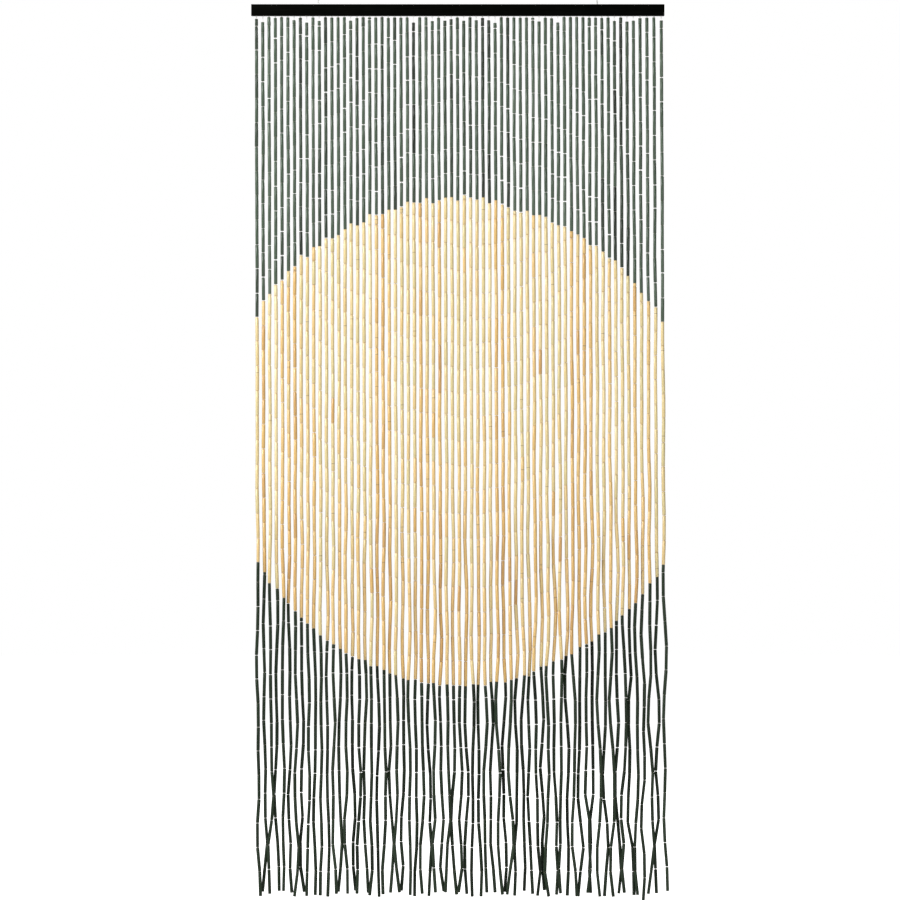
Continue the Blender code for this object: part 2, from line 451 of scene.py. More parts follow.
def turned_to(direction, turn):
    """A rotation whose Z follows a direction, turned about it."""
    facing = direction.to_track_quat("Z", "Y").to_matrix().to_4x4()
    return facing @ Matrix.Rotation(turn, 4, "Z")


def show_piece(name, mesh, material):
    """Puts a finished mesh in the scene as a piece that rides on the frame."""
    mesh.materials.clear()
    mesh.materials.append(material)
    piece = bpy.data.objects.new(name, mesh)
    bpy.context.scene.collection.objects.link(piece)
    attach(piece, BODY)
    return piece


def finished_mesh(name, bm):
    """A mesh with its faces turned outwards, smooth but for its sharp edges."""
    mesh = bpy.data.meshes.new(name)
    bmesh.ops.recalc_face_normals(bm, faces=bm.faces)
    bm.to_mesh(mesh)
    bm.free()
    mesh.shade_smooth()
    mesh.set_sharp_from_angle(angle=SMOOTH_ANGLE)
    return mesh


def joined_copies(name, template, places):
    """One mesh that holds a copy of the template at each place."""
    bm = bmesh.new()
    for place in places:
        single = template.copy()
        single.transform(place)
        bm.from_mesh(single)
        bpy.data.meshes.remove(single)
    mesh = bpy.data.meshes.new(name)
    bm.to_mesh(mesh)
    bm.free()
    return mesh


def write_vectors(mesh, name, values):
    """Keeps one vector for each point of a mesh, under a name that materials can ask for."""
    layer = mesh.attributes.new(name, "FLOAT_VECTOR", "POINT")
    layer.data.foreach_set("vector", np.asarray(values, np.float32).ravel())


def bead_template(diameter, length):
    """A tube with eased rims and a bore at each end."""
    bm = bmesh.new()
    bmesh.ops.create_cone(bm, cap_ends=True, cap_tris=False, segments=BEAD_SIDES,
                          radius1=diameter / 2, radius2=diameter / 2, depth=length)
    caps = [face for face in bm.faces if len(face.verts) == BEAD_SIDES]
    rims = list({edge for face in caps for edge in face.edges})
    bmesh.ops.bevel(bm, geom=rims, offset=BEAD_RIM, offset_type="OFFSET",
                    segments=1, profile=0.5, affect="EDGES", material=-1)
    caps = [face for face in bm.faces if len(face.verts) == BEAD_SIDES]
    bmesh.ops.inset_region(bm, faces=caps, thickness=BEAD_WALL - BEAD_RIM, use_even_offset=True)
    bores = bmesh.ops.extrude_discrete_faces(bm, faces=caps)["faces"]
    for face in bores:
        inward = Vector((0.0, 0.0, -math.copysign(BEAD_BORE_DEPTH, face.calc_center_median().z)))
        bmesh.ops.translate(bm, vec=inward, verts=face.verts)
    return finished_mesh("bead_template", bm)


def make_bead_piece(name, beads, diameter, gap, material):
    """Joins the beads of a run in one piece, with each bead's own place and facts kept on its points."""
    full_length = BEAD_PITCH - gap
    template = bead_template(diameter, full_length)
    corner_count = len(template.vertices)
    corners = np.zeros(corner_count * 3, np.float32)
    template.vertices.foreach_get("co", corners)
    corners = corners.reshape(-1, 3)
    places = []
    local_points = []
    facts = []
    for bead in beads:
        source = chance("bead", bead.strand, f"{bead.bottom:.4f}")
        top = strand_point(bead.strand, bead.top)
        bottom = strand_point(bead.strand, bead.bottom)
        length = (top - bottom).length - gap * (GAP_LEAST + GAP_MORE * source.random() ** GAP_POWER)
        thickness = 1.0 + source.uniform(-BEAD_THICKNESS_SPREAD, BEAD_THICKNESS_SPREAD)
        stretch = Matrix.Diagonal((thickness, thickness, length / full_length, 1.0))
        turn = source.uniform(0.0, math.tau)
        middle = Matrix.Translation((top + bottom) / 2)
        places.append(middle @ turned_to(top - bottom, turn) @ stretch)
        local_points.append(corners * (1.0, 1.0, length / full_length))
        tone = bead_tone(bead)
        facts.append(np.tile((tone, source.random(), length / 2), (corner_count, 1)))
    mesh = joined_copies(name, template, places)
    bpy.data.meshes.remove(template)
    write_vectors(mesh, "bead_local", np.concatenate(local_points))
    write_vectors(mesh, "bead_facts", np.concatenate(facts))
    return show_piece(name, mesh, material)


def bead_tone(bead):
    """How deep a bead's colour is, from 0 to 1: the disc browns a little towards its foot, a painted shade
    where less light falls.
    """
    if bead.run != "disc":
        strand_tone = chance(bead.run, "tone", bead.strand).random()
        return DARK_STRAND_SHARE * strand_tone + DARK_BEAD_SHARE * bead.tone
    strand_tone = chance("tone", bead.strand).random()
    # Further down the disc the tone deepens and brown beads come oftener: painted shade, where less light falls
    down = between(bead.bottom, DISC_DEPTH - DISC_HALF_HEIGHT, DISC_DEPTH + DISC_HALF_HEIGHT)
    tone = DISC_STRAND_SHARE * strand_tone + DISC_BEAD_SHARE * bead.tone
    source = chance("brown", bead.strand, f"{bead.bottom:.4f}")
    if source.random() < BROWN_CHANCE + BROWN_CHANCE_GAIN_TO_SHADE * down:
        return source.uniform(*BROWN_TONES)
    return tone ** (TONE_POWER - TONE_POWER_LOSS_TO_SHADE * down)


def ring_template(name, ring_radius, wire_radius, steps, sides):
    """A closed wire ring about Y, spun from a small circle."""
    bm = bmesh.new()
    section = bmesh.ops.create_circle(bm, segments=sides, radius=wire_radius)["verts"]
    bmesh.ops.translate(bm, vec=(ring_radius, 0.0, 0.0), verts=section)
    bmesh.ops.spin(bm, geom=bm.verts[:] + bm.edges[:], cent=(0.0, 0.0, 0.0), axis=(0.0, 1.0, 0.0),
                   angle=math.tau, steps=steps, use_merge=True)
    return finished_mesh(name, bm)


def link_places():
    """Two linked rings at each joint, the upper bead's facing the front, and one at each strand's foot."""
    places = []
    for strand in range(STRAND_COUNT):
        beads = strand_beads(strand)
        for lower, upper in zip(beads, beads[1:]):
            joint = strand_point(strand, upper.bottom)
            for bead, side, turn in ((upper, 1.0, 0.0), (lower, -1.0, math.pi / 2)):
                along = strand_point(strand, bead.top) - strand_point(strand, bead.bottom)
                middle = joint + along.normalized() * LINK_OFFSET * side
                places.append(Matrix.Translation(middle) @ turned_to(along, turn))
        last = beads[0]
        along = strand_point(strand, last.top) - strand_point(strand, last.bottom)
        places.append(Matrix.Translation(strand_point(strand, last.bottom)) @ turned_to(along, 0.0))
    return places


def under_rail(strand, height):
    """The place under the rail where a strand hangs, at a height."""
    return Matrix.Translation((rest_x(strand, RAIL_HEIGHT), 0.0, height))


def first_link_place(strand, high):
    """Stretches a link so that it reaches from the top ring down into the bore of the strand's first bead."""
    low = min(-strand_beads(strand)[-1].top - FIRST_LINK_SUNK, high - 2 * LINK_RING_RADIUS)
    stretch = Matrix.Diagonal((1.0, 1.0, (high - low) / (2 * LINK_RING_RADIUS), 1.0))
    return under_rail(strand, (high + low) / 2) @ stretch


def show_wires(name, template, places):
    """Puts a copy of a wire at each place in the scene, as one piece."""
    return show_piece(name, joined_copies(name, template, places), bright_wire())


def hanger_template():
    """A small wire staple: a half turn with two legs, spun and extruded from a circle."""
    bm = bmesh.new()
    section = bmesh.ops.create_circle(bm, segments=HANGER_WIRE_SIDES, radius=HANGER_WIRE_RADIUS)["verts"]
    bmesh.ops.translate(bm, vec=(HANGER_BEND_RADIUS, 0.0, 0.0), verts=section)
    bend = bmesh.ops.spin(bm, geom=bm.verts[:] + bm.edges[:], cent=(0.0, 0.0, 0.0),
                          axis=(0.0, 1.0, 0.0), angle=math.pi, steps=HANGER_BEND_STEPS, use_merge=False)
    last = [item for item in bend["geom_last"] if isinstance(item, bmesh.types.BMEdge)]
    first = [edge for edge in bm.edges if edge.is_boundary and edge not in last]
    for end in (first, last):
        leg = bmesh.ops.extrude_edge_only(bm, edges=end)["geom"]
        tips = [item for item in leg if isinstance(item, bmesh.types.BMVert)]
        bmesh.ops.translate(bm, vec=(0.0, 0.0, HANGER_LEG), verts=tips)
        rim = [edge for edge in leg if isinstance(edge, bmesh.types.BMEdge) and edge.is_boundary]
        bmesh.ops.contextual_create(bm, geom=rim)
    return finished_mesh("hanger_template", bm)


def make_rail_mesh():
    """The batten at its full height, planed square with eased edges."""
    low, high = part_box("rail")
    bm = bmesh.new()
    bmesh.ops.create_cube(bm, size=1.0)
    size = Vector((high.x - low.x, high.y - low.y, RAIL_HEIGHT))
    bmesh.ops.scale(bm, vec=size, verts=bm.verts)
    bmesh.ops.translate(bm, vec=(0.0, 0.0, high.z - RAIL_HEIGHT / 2), verts=bm.verts)
    bmesh.ops.bevel(bm, geom=bm.edges[:], offset=RAIL_EDGE, offset_type="OFFSET",
                    segments=RAIL_EDGE_STEPS, profile=0.5, affect="EDGES", material=-1)
    return finished_mesh("rail_batten", bm)


def eye_route():
    """Up the shank out of the rail, round a small elbow and round the ring, in a plane across the rail."""
    ring_middle = EYE_SHANK_HEIGHT + EYE_RING_RADIUS
    points = [Vector((0.0, 0.0, -EYE_SUNK)), Vector((0.0, 0.0, EYE_ELBOW_HEIGHT))]
    for step in range(EYE_RING_POINTS):
        turn = EYE_RING_START + (EYE_RING_END - EYE_RING_START) * step / (EYE_RING_POINTS - 1)
        across = EYE_RING_RADIUS * math.sin(turn)
        up = ring_middle - EYE_RING_RADIUS * math.cos(turn)
        points.append(Vector((0.0, across, up)))
    return points


def wire_mesh(name, route, radius, place):
    """A round wire along a route, as a mesh moved to its place."""
    curve = bpy.data.curves.new(name, "CURVE")
    curve.dimensions = "3D"
    curve.bevel_depth = radius
    curve.bevel_resolution = EYE_WIRE_STEPS
    curve.use_fill_caps = True
    spline = curve.splines.new("POLY")
    spline.points.add(len(route) - 1)
    for point, spot in zip(spline.points, route):
        point.co = (*spot, 1.0)
    guide = bpy.data.objects.new(name, curve)
    bpy.context.scene.collection.objects.link(guide)
    depsgraph = bpy.context.evaluated_depsgraph_get()
    mesh = bpy.data.meshes.new_from_object(guide.evaluated_get(depsgraph))
    bpy.data.objects.remove(guide)
    bpy.data.curves.remove(curve)
    mesh.transform(place)
    bm = bmesh.new()
    bm.from_mesh(mesh)
    bpy.data.meshes.remove(mesh)
    bmesh.ops.remove_doubles(bm, verts=bm.verts, dist=SAME_POINT)
    return finished_mesh(name, bm)


def new_material(name):
    """A material with its Principled shader, ready for nodes."""
    material = bpy.data.materials.new(name)
    material.use_nodes = True
    return material, material.node_tree, material.node_tree.nodes["Principled BSDF"]


def add_node(tree, kind, **settings):
    """A new node with some of its settings changed."""
    node = tree.nodes.new(kind)
    for key, value in settings.items():
        setattr(node, key, value)
    return node


def feed(tree, socket, value):
    """Gives a socket what it needs: a link from another socket, a number, or a colour."""
    if isinstance(value, bpy.types.NodeSocket):
        tree.links.new(value, socket)
    elif isinstance(value, (int, float)):
        socket.default_value = value
    else:
        socket.default_value = (*value[:3], 1.0)


def set_values(node, values):
    """Sets some of a node's inputs by their labels."""
    for label, value in values.items():
        node.inputs[label].default_value = value


def add_math(tree, operation, *values):
    """A Math node on sockets or numbers; returns its output."""
    node = add_node(tree, "ShaderNodeMath", operation=operation)
    for socket, value in zip(node.inputs, values):
        feed(tree, socket, value)
    return node.outputs[0]


def add_noise(tree, vector, grain):
    """Noise on a vector that is scaled along each axis; returns its value."""
    scaled = add_node(tree, "ShaderNodeVectorMath", operation="MULTIPLY")
    tree.links.new(vector, scaled.inputs[0])
    scaled.inputs[1].default_value = grain.scale
    noise = add_node(tree, "ShaderNodeTexNoise")
    set_values(noise, {"Scale": 1.0, "Detail": grain.detail, "Roughness": grain.roughness})
    tree.links.new(scaled.outputs[0], noise.inputs["Vector"])
    return noise.outputs["Fac"]


def add_fade(tree, value, fade):
    """Turns one range of a value into another, eased, and keeps it within; returns its output."""
    node = add_node(tree, "ShaderNodeMapRange", interpolation_type="SMOOTHSTEP")
    tree.links.new(value, node.inputs["Value"])
    set_values(node, {"From Min": fade.low, "From Max": fade.high, "To Min": fade.start, "To Max": fade.end})
    return node.outputs["Result"]


def add_mix(tree, share, first, second, blend="MIX"):
    """A colour mix of two sockets or colours; returns its output."""
    node = add_node(tree, "ShaderNodeMix", data_type="RGBA", blend_type=blend)
    feed(tree, node.inputs["Factor"], share)
    for place, value in zip(MIX_COLOURS_IN, (first, second)):
        feed(tree, node.inputs[place], value)
    return node.outputs[MIX_COLOUR_OUT]


def add_tint(tree, colour, mask, strength, tint):
    """Mixes a tint into a colour where a mask lets it through; returns the new colour."""
    return add_mix(tree, add_math(tree, "MULTIPLY", mask, strength), colour, tint)


def new_group(name, inputs, outputs):
    """An empty node group with named sockets; returns it with its input and output nodes."""
    group = bpy.data.node_groups.new(name, "ShaderNodeTree")
    for label, kind in inputs:
        group.interface.new_socket(label, in_out="INPUT", socket_type=kind)
    for label, kind in outputs:
        group.interface.new_socket(label, in_out="OUTPUT", socket_type=kind)
    return group, add_node(group, "NodeGroupInput"), add_node(group, "NodeGroupOutput")


def bamboo_group():
    """Bamboo on one bead: fibres, clouds, specks, dark rims, the cut core and a growth ring on some beads."""
    name = "bamboo_skin"
    if name in bpy.data.node_groups:
        return bpy.data.node_groups[name]
    inputs = (("Local", "NodeSocketVector"), ("Seed", "NodeSocketFloat"), ("Half Length", "NodeSocketFloat"))
    outputs = tuple((label, "NodeSocketFloat") for label in
                    ("Fibres", "Clouds", "Specks", "Rim", "Core", "Growth Ring", "Height"))
    group, given, result = new_group(name, inputs, outputs)
    seed = given.outputs["Seed"]
    offset = add_node(group, "ShaderNodeVectorMath", operation="SCALE")
    offset.inputs[0].default_value = SEED_SHIFT
    group.links.new(seed, offset.inputs["Scale"])
    shifted = add_node(group, "ShaderNodeVectorMath", operation="ADD")
    group.links.new(given.outputs["Local"], shifted.inputs[0])
    group.links.new(offset.outputs[0], shifted.inputs[1])
    spot = shifted.outputs[0]
    axes = add_node(group, "ShaderNodeSeparateXYZ")
    group.links.new(given.outputs["Local"], axes.inputs[0])
    along = axes.outputs["Z"]
    inset = add_math(group, "SUBTRACT", given.outputs["Half Length"], add_math(group, "ABSOLUTE", along))
    squares = [add_math(group, "MULTIPLY", axes.outputs[axis], axes.outputs[axis]) for axis in "XY"]
    radius = add_math(group, "SQRT", add_math(group, "ADD", *squares))
    picks = [add_math(group, "FRACT", add_math(group, "MULTIPLY", seed, pick)) for pick in GROWTH_RING_PICKS]
    chosen = add_math(group, "LESS_THAN", picks[0], GROWTH_RING_SHARE)
    ring_place = add_math(group, "MULTIPLY_ADD", picks[1], 2 * GROWTH_RING_REACH, -GROWTH_RING_REACH)
    away = add_math(group, "ABSOLUTE", add_math(group, "SUBTRACT", along, ring_place))
    fibres = add_noise(group, spot, FIBRES)
    ring = add_math(group, "MULTIPLY", add_fade(group, away, GROWTH_RING_FADE), chosen)
    values = {
        "Fibres": fibres,
        "Clouds": add_noise(group, spot, CLOUDS),
        "Specks": add_fade(group, add_noise(group, spot, SPECKS), SPECK_FADE),
        "Rim": add_fade(group, inset, RIM_FADE),
        "Core": add_fade(group, radius, CORE_FADE),
        "Growth Ring": ring,
        "Height": add_math(group, "ADD", add_math(group, "MULTIPLY", fibres, FIBRE_HEIGHT), ring),
    }
    for label, value in values.items():
        group.links.new(value, result.inputs[label])
    return group


def bead_inputs(tree):
    """Places the bamboo group in a material and gives it the bead's own facts; returns it with the tone."""
    local = add_node(tree, "ShaderNodeAttribute", attribute_name="bead_local")
    facts = add_node(tree, "ShaderNodeAttribute", attribute_name="bead_facts")
    split = add_node(tree, "ShaderNodeSeparateXYZ")
    tree.links.new(facts.outputs["Vector"], split.inputs[0])
    skin = add_node(tree, "ShaderNodeGroup", node_tree=bamboo_group())
    tree.links.new(local.outputs["Vector"], skin.inputs["Local"])
    tree.links.new(split.outputs["Y"], skin.inputs["Seed"])
    tree.links.new(split.outputs["Z"], skin.inputs["Half Length"])
    return skin.outputs, split.outputs["X"]


def add_relief(tree, shader, height, relief):
    """Lets a height roughen a shader's surface, by a depth and a strength."""
    bump = add_node(tree, "ShaderNodeBump")
    set_values(bump, dict(zip(("Distance", "Strength"), relief)))
    tree.links.new(height, bump.inputs["Height"])
    tree.links.new(bump.outputs["Normal"], shader.inputs["Normal"])


def add_shades(tree, tone, shades):
    """A colour ramp on a bead's tone, each shade a place from 0 to 1 and a colour; returns its output."""
    ramp = add_node(tree, "ShaderNodeValToRGB")
    tree.links.new(tone, ramp.inputs["Fac"])
    stops = ramp.color_ramp.elements
    while len(stops) < len(shades):
        stops.new(0.5)
    for stop, (place, colour) in zip(stops, shades):
        stop.position = place
        stop.color = (*colour, 1.0)
    return ramp.outputs["Color"]


def natural_bamboo_material(name, colours):
    """Pale bamboo skin: each bead its own shade, with long fibres, dark specks and brown rims, which are partly
    scorched ends and partly painted shadow where the beads meet; its edges that turn away get a painted shade.
    """
    material, tree, shader = new_material(name)
    skin, tone = bead_inputs(tree)
    colour = add_shades(tree, tone, [(place, getattr(colours, shade)) for place, shade in NATURAL_SHADES])
    colour = add_mix(tree, add_fade(tree, skin["Fibres"], NATURAL_STREAKS), colour, colours.fibre, "MULTIPLY")
    colour = add_mix(tree, add_fade(tree, skin["Clouds"], NATURAL_PATCHES), colour, colours.tan)
    colour = add_tint(tree, colour, skin["Specks"], SPECK_STRENGTH, colours.speck)
    colour = add_tint(tree, colour, skin["Growth Ring"], GROWTH_RING_STRENGTH, colours.speck)
    # Brown rims: partly the bead's darker cut ends, partly painted shadow where the beads meet
    colour = add_tint(tree, colour, skin["Rim"], RIM_AND_JOINT_SHADE_STRENGTH, colours.brown)
    # Painted shade: where the bead's surface turns away from the view it is mixed towards brown, as a lit tube
    # darkens at its sides
    facing = add_node(tree, "ShaderNodeLayerWeight").outputs["Facing"]
    colour = add_mix(tree, add_fade(tree, facing, NATURAL_EDGE_SHADE), colour, colours.brown)
    colour = add_mix(tree, skin["Core"], colour, colours.core)
    tree.links.new(colour, shader.inputs["Base Color"])
    tree.links.new(add_fade(tree, skin["Fibres"], NATURAL_ROUGHNESS), shader.inputs["Roughness"])
    set_values(shader, {"Coat Weight": 0.45, "Coat Roughness": 0.24})
    add_relief(tree, shader, skin["Height"], NATURAL_RELIEF)
    return material


def dark_bamboo_material(name, colours, stain, pale, gloss):
    """Bamboo stained green black under thin lacquer, lighter along its fibres and rubbed at the rims."""
    material, tree, shader = new_material(name)
    skin, tone = bead_inputs(tree)
    stains = (colours.stain_deep, stain, stain, pale)
    colour = add_shades(tree, tone, list(zip(STAIN_PLACES, stains)))
    colour = add_mix(tree, add_fade(tree, skin["Fibres"], DARK_STREAKS), colour, pale)
    colour = add_mix(tree, add_fade(tree, skin["Clouds"], DARK_PATCHES), colour, colours.stain_deep)
    rubbed = add_math(tree, "MULTIPLY", skin["Rim"], add_fade(tree, skin["Fibres"], DARK_RUBBING))
    colour = add_tint(tree, colour, rubbed, RUBBED_STRENGTH, colours.core)
    colour = add_tint(tree, colour, skin["Core"], DARK_CORE_STRENGTH, colours.core)
    tree.links.new(colour, shader.inputs["Base Color"])
    tree.links.new(add_fade(tree, skin["Fibres"], DARK_ROUGHNESS), shader.inputs["Roughness"])
    coat = COAT_PER_GLOSS * gloss
    set_values(shader, {"Specular IOR Level": gloss, "Coat Weight": coat, "Coat Roughness": 0.22})
    add_relief(tree, shader, skin["Height"], DARK_RELIEF)
    return material


def mottle_group():
    """Soft uneven patches over a surface, between a low and a high value."""
    name = "mottle"
    if name in bpy.data.node_groups:
        return bpy.data.node_groups[name]
    inputs = (("Vector", "NodeSocketVector"), ("Scale", "NodeSocketFloat"),
              ("Low", "NodeSocketFloat"), ("High", "NodeSocketFloat"))
    group, given, result = new_group(name, inputs, (("Value", "NodeSocketFloat"),))
    noise = add_node(group, "ShaderNodeTexNoise")
    noise.inputs["Detail"].default_value = MOTTLE_DETAIL
    group.links.new(given.outputs["Vector"], noise.inputs["Vector"])
    group.links.new(given.outputs["Scale"], noise.inputs["Scale"])
    spread = add_node(group, "ShaderNodeMapRange", interpolation_type="SMOOTHSTEP")
    set_values(spread, dict(zip(("From Min", "From Max"), MOTTLE_SPAN)))
    group.links.new(noise.outputs["Fac"], spread.inputs["Value"])
    group.links.new(given.outputs["Low"], spread.inputs["To Min"])
    group.links.new(given.outputs["High"], spread.inputs["To Max"])
    group.links.new(spread.outputs["Result"], result.inputs["Value"])
    return group


def add_mottle(tree, mottle):
    """Soft patches in the object's own space; returns their value."""
    place = add_node(tree, "ShaderNodeTexCoord")
    node = add_node(tree, "ShaderNodeGroup", node_tree=mottle_group())
    tree.links.new(place.outputs["Object"], node.inputs["Vector"])
    set_values(node, {"Scale": mottle.scale, "Low": mottle.low, "High": mottle.high})
    return node.outputs["Value"]


def rail_paint_material(name, colours):
    """Satin black paint brushed along a planed batten, with the grain just showing."""
    material, tree, shader = new_material(name)
    place = add_node(tree, "ShaderNodeTexCoord")
    grain = add_noise(tree, place.outputs["Object"], PAINTED_WOOD)
    colour = add_mix(tree, add_fade(tree, grain, PAINT_GRAIN), colours.paint, colours.paint_worn)
    colour = add_mix(tree, add_mottle(tree, PAINT_SHADE), colour, colours.paint)
    tree.links.new(colour, shader.inputs["Base Color"])
    tree.links.new(add_mottle(tree, PAINT_ROUGHNESS), shader.inputs["Roughness"])
    set_values(shader, {"Specular IOR Level": 0.01})
    add_relief(tree, shader, grain, PAINT_RELIEF)
    return material


def wire_material(name, colours):
    """Drawn steel wire, dulled a little by handling."""
    material, tree, shader = new_material(name)
    colour = add_mix(tree, add_mottle(tree, WIRE_SHADE), colours.steel, colours.steel_dull)
    tree.links.new(colour, shader.inputs["Base Color"])
    tree.links.new(add_mottle(tree, WIRE_ROUGHNESS), shader.inputs["Roughness"])
    set_values(shader, {"Metallic": 0.3})
    return material


def floor_material(name, colours):
    """A pale floor that looks lit through from below, as a product table does, and lights nothing else."""
    material, tree, shader = new_material(name)
    colour = add_mix(tree, add_mottle(tree, FLOOR_PATCHES), colours.floor, colours.floor_shade)
    tree.links.new(colour, shader.inputs["Base Color"])
    set_values(shader, {"Roughness": 0.85, "Emission Strength": FLOOR_GLOW})
    seen = add_node(tree, "ShaderNodeLightPath").outputs["Is Camera Ray"]
    tree.links.new(add_mix(tree, seen, BLACK, WHITE), shader.inputs["Emission Color"])
    return material


def make_surround():
    """White all round where it is seen, and dim where it lights the curtain."""
    world = bpy.data.worlds.new("white_surround")
    world.use_nodes = True
    tree = world.node_tree
    seen = add_node(tree, "ShaderNodeLightPath").outputs["Is Camera Ray"]
    strength = add_node(tree, "ShaderNodeMapRange")
    tree.links.new(seen, strength.inputs["Value"])
    set_values(strength, {"To Min": SURROUND_LIGHT, "To Max": 1.0})
    background = tree.nodes["Background"]
    background.inputs["Color"].default_value = (*WHITE, 1.0)
    tree.links.new(strength.outputs["Result"], background.inputs["Strength"])
    return world


def stored_material(name, make, *facts):
    """The named material, made from the scene's colours the first time that it is asked for."""
    stored = bpy.data.materials.get(name)
    return stored or make(name, bpy.context.scene.bead_curtain_colours, *facts)


def bright_wire():
    """The material of every wire."""
    return stored_material("bright_wire", wire_material)


def colour_property(label, words, red, green, blue):
    """A colour that the panel shows."""
    return bpy.props.FloatVectorProperty(name=label, description=words, subtype="COLOR", size=3,
                                         min=0.0, max=1.0, default=(red, green, blue))


def size_property(label, words, value):
    """A length that the panel shows."""
    return bpy.props.FloatProperty(name=label, description=words, default=value, min=0.0,
                                   precision=5, unit="LENGTH", subtype="DISTANCE")


class BeadCurtainSizes(bpy.types.PropertyGroup):
    """Sizes of the beads, of the gaps between them and of the wire"""
    dark_diameter: size_property("Dark bead thickness", "Outside thickness of a stained bead", 0.0073)
    natural_diameter: size_property("Natural bead thickness", "Outside thickness of a natural bead", 0.0076)
    upper_gap: size_property("Upper gap", "Bare wire between two beads above the disc", 0.0011)
    disc_gap: size_property("Disc gap", "Bare wire between two beads of the disc", 0.0004)
    lower_gap: size_property("Lower gap", "Bare wire between two beads below the disc", 0.0007)
    link_wire: size_property("Link wire", "Radius of the wire that links the beads", 0.00028)


class BeadCurtainColours(bpy.types.PropertyGroup):
    """Colours of the bamboo, the stain, the paint, the wire and the floor"""
    cream: colour_property("Cream", "Palest natural beads", 0.89, 0.80, 0.49)
    straw: colour_property("Straw", "Most natural beads", 0.84, 0.685, 0.35)
    green_straw: colour_property("Green straw", "Natural beads cut young", 0.73, 0.64, 0.33)
    rosy_straw: colour_property("Rosy straw", "Natural beads with a warm cast", 0.83, 0.60, 0.265)
    tan: colour_property("Tan", "Darker natural beads", 0.76, 0.505, 0.175)
    # Brown is also the painted shadow on the natural beads' rims where they meet, and the painted shade on
    # their edges that turn away
    brown: colour_property("Brown", "Brownest beads and the scorched rims", 0.58, 0.33, 0.11)
    fibre: colour_property("Fibre", "Tint along the fibres", 0.66, 0.52, 0.34)
    speck: colour_property("Speck", "Dark specks and growth rings", 0.10, 0.06, 0.03)
    core: colour_property("Core", "Raw bamboo at the cut ends", 0.45, 0.33, 0.18)
    # The upper and thin stains are lighter than the lower and faded ones as painted light: the top of the
    # curtain is lit more strongly
    stain_upper: colour_property("Upper stain", "Stain of the beads above the disc", 0.060, 0.094, 0.060)
    stain_lower: colour_property("Lower stain", "Stain of the beads below the disc", 0.0200, 0.0335, 0.0185)
    stain_deep: colour_property("Deep stain", "Stain where it lies thickest", 0.0075, 0.0120, 0.0065)
    stain_thin: colour_property("Thin stain", "Upper beads that took less stain", 0.115, 0.155, 0.112)
    stain_faded: colour_property("Faded stain", "Lower beads that took less stain", 0.036, 0.054, 0.033)
    paint: colour_property("Rail paint", "Black paint on the rail", 0.0010, 0.0012, 0.0008)
    paint_worn: colour_property("Worn paint", "Paint where the grain shows", 0.0032, 0.0034, 0.0026)
    steel: colour_property("Steel", "Bright wire", 0.90, 0.90, 0.88)
    steel_dull: colour_property("Dull steel", "Handled wire", 0.72, 0.72, 0.69)
    floor: colour_property("Floor", "Pale studio floor", 0.90, 0.90, 0.90)
    floor_shade: colour_property("Floor shade", "Uneven patches of the floor", 0.88, 0.88, 0.88)


class BEADCURTAIN_OT_rail(bpy.types.Operator):
    """Make the painted batten that carries the strands"""
    bl_idname = "bead_curtain.rail"
    bl_label = "Rail"

    def execute(self, context):
        paint = stored_material("rail_paint", rail_paint_material)
        piece = show_piece("rail_batten", make_rail_mesh(), paint)
        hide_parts("rail")
        return {"FINISHED"}


class BEADCURTAIN_OT_screw_eyes(bpy.types.Operator):
    """Make the two screw eyes on the rail's top"""
    bl_idname = "bead_curtain.screw_eyes"
    bl_label = "Screw Eyes"

    def execute(self, context):
        for side, x in (("left", -EYE_OFFSET), ("right", EYE_OFFSET)):
            place = Matrix.Translation((x, 0.0, 0.0))
            mesh = wire_mesh(f"eye_wire_{side}", eye_route(), EYE_WIRE_RADIUS, place)
            piece = show_piece(f"eye_wire_{side}", mesh, bright_wire())
            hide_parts(f"screw_eye_{side}")
        return {"FINISHED"}


class BEADCURTAIN_OT_hangers(bpy.types.Operator):
    """Make the staple and the wire ring that hang each strand from the rail"""
    bl_idname = "bead_curtain.hangers"
    bl_label = "Hangers"

    def execute(self, context):
        wire = context.scene.bead_curtain_sizes.link_wire
        strands = range(STRAND_COUNT)
        bend_height = -RAIL_HEIGHT - HANGER_DROP + HANGER_BEND_RADIUS + HANGER_WIRE_RADIUS
        places = [under_rail(strand, bend_height) for strand in strands]
        show_wires("hanger_staples", hanger_template(), places)
        ring = ring_template("top_ring", TOP_RING_RADIUS, HANGER_WIRE_RADIUS, TOP_RING_STEPS, HANGER_WIRE_SIDES)
        ring_height = -RAIL_HEIGHT - HANGER_DROP - TOP_RING_RADIUS + 2 * HANGER_WIRE_RADIUS + HANGER_WIRE_RADIUS
        turned = Matrix.Rotation(math.pi / 2, 4, "Z")
        show_wires("hanger_rings", ring, [under_rail(strand, ring_height) @ turned for strand in strands])
        link = ring_template("first_link", LINK_RING_RADIUS, wire, LINK_RING_STEPS, HANGER_WIRE_SIDES)
        high = ring_height - TOP_RING_RADIUS + HANGER_WIRE_RADIUS + wire
        show_wires("first_links", link, [first_link_place(strand, high) for strand in strands])
        return {"FINISHED"}


class BEADCURTAIN_OT_natural_beads(bpy.types.Operator):
    """Make the natural beads of the disc"""
    bl_idname = "bead_curtain.natural_beads"
    bl_label = "Natural Beads"

    def execute(self, context):
        sizes = context.scene.bead_curtain_sizes
        bamboo = stored_material("natural_bamboo_skin", natural_bamboo_material)
        beads = [bead for bead in all_beads() if bead.run == "disc"]
        piece = make_bead_piece("disc_beads", beads, sizes.natural_diameter, sizes.disc_gap,
                                bamboo)
        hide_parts("bead_strands")
        return {"FINISHED"}


